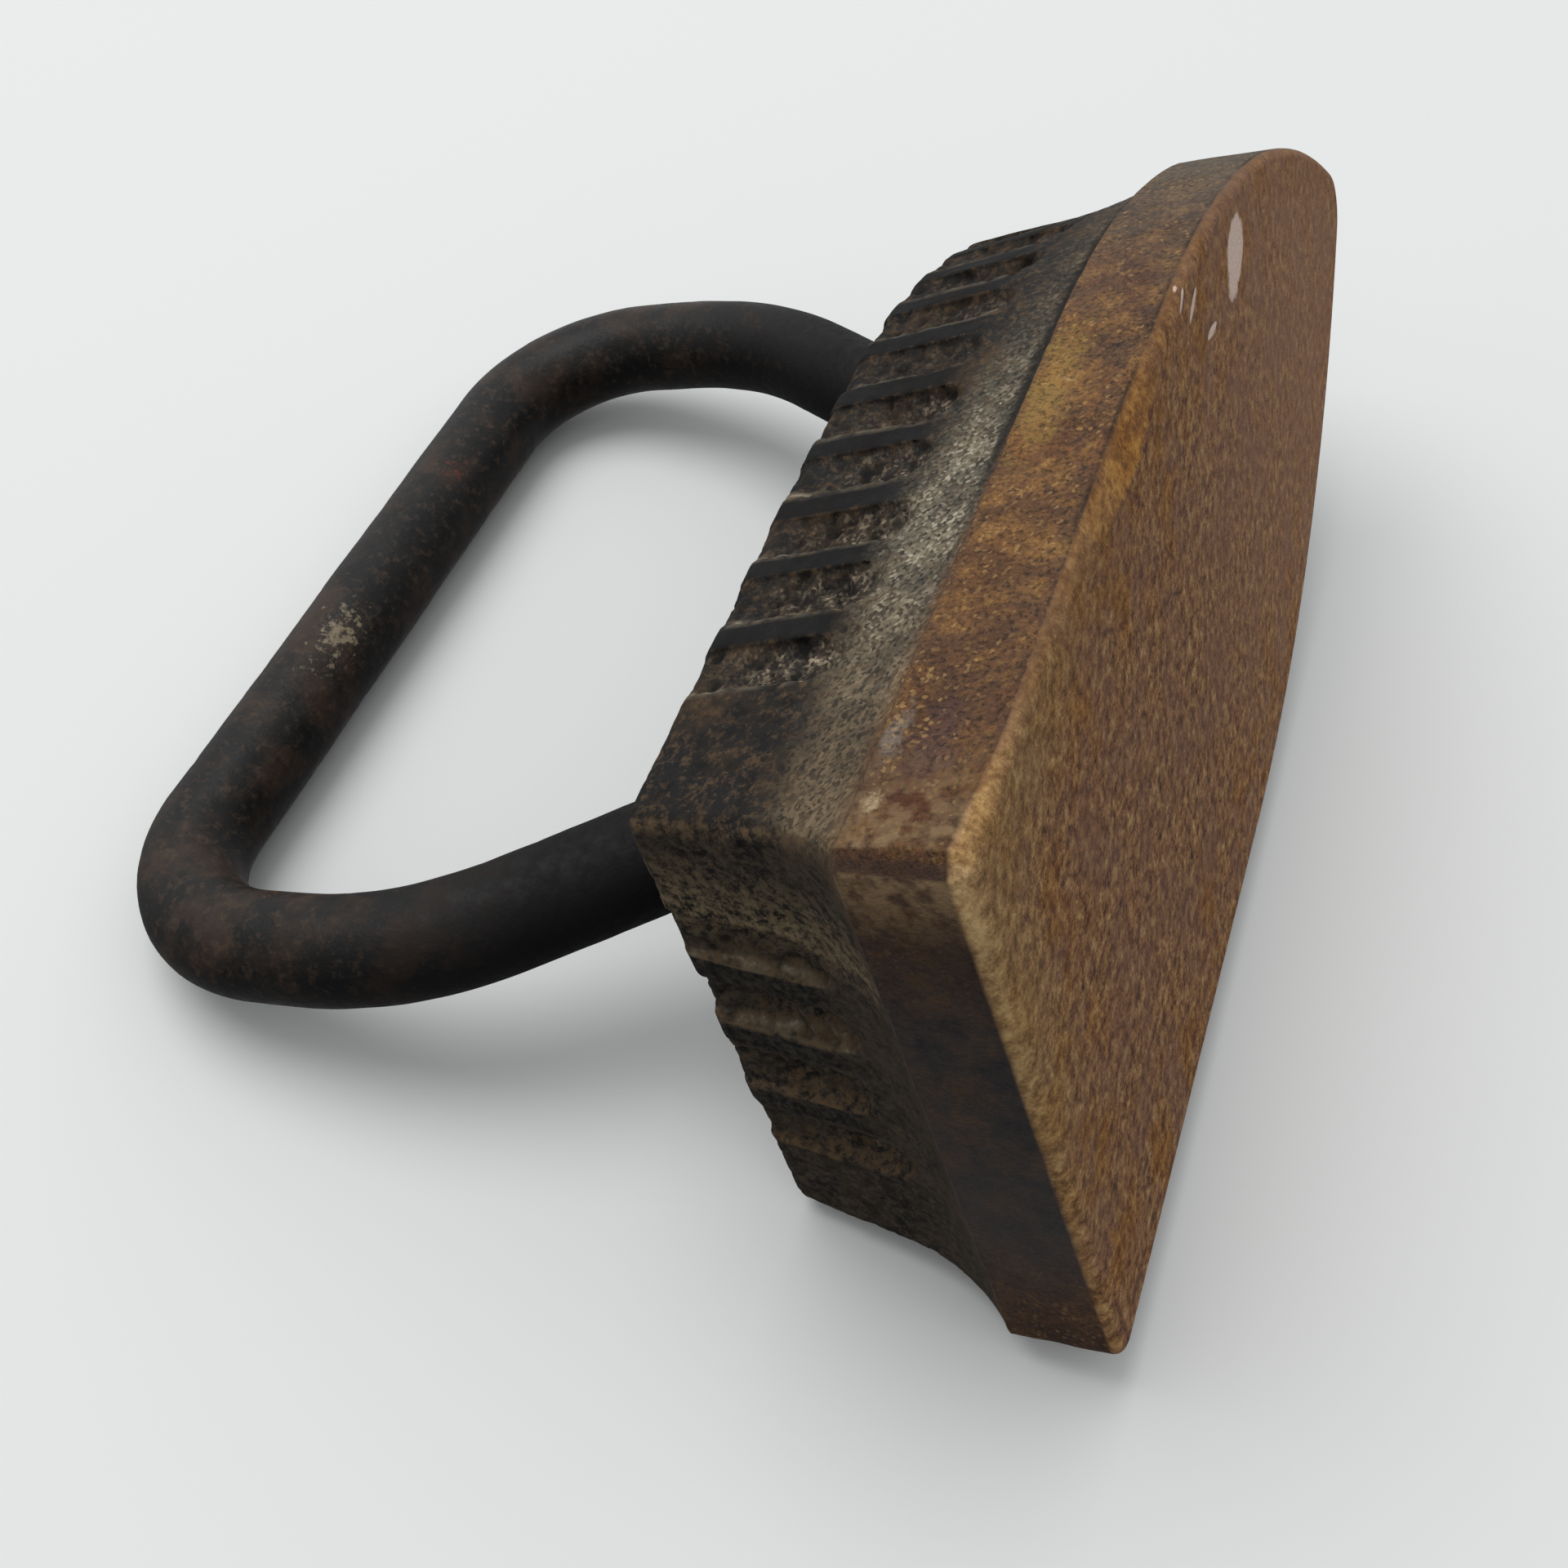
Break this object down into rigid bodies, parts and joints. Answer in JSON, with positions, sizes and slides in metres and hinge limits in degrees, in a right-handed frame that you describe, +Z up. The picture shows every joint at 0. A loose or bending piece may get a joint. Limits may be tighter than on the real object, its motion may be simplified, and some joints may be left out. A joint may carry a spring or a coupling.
{
  "type": "flat iron",
  "caption": "Solid cast flat iron for stove heating, boat-shaped thick sole, fluted coved body and a bent round-bar handle cast into the top",
  "frame": {"origin": "Under the middle of the sole's length and width, on the sole's plane", "axes": "+X points along the sole to the nose, +Y to the left of the person ironing, +Z up from the sole to the grip"},
  "size_m": [0.1622, 0.0728, 0.1214],
  "materials": {
    "sooty_cast_iron": "sooty, porous casting with a rust-brown sole",
    "blackened_bar": "blackened satin wrought bar with rust spots"
  },
  "bodies": {
    "root": {"body": "sooty_cast_iron", "handle": "blackened_bar"}
  },
  "joints": []
}
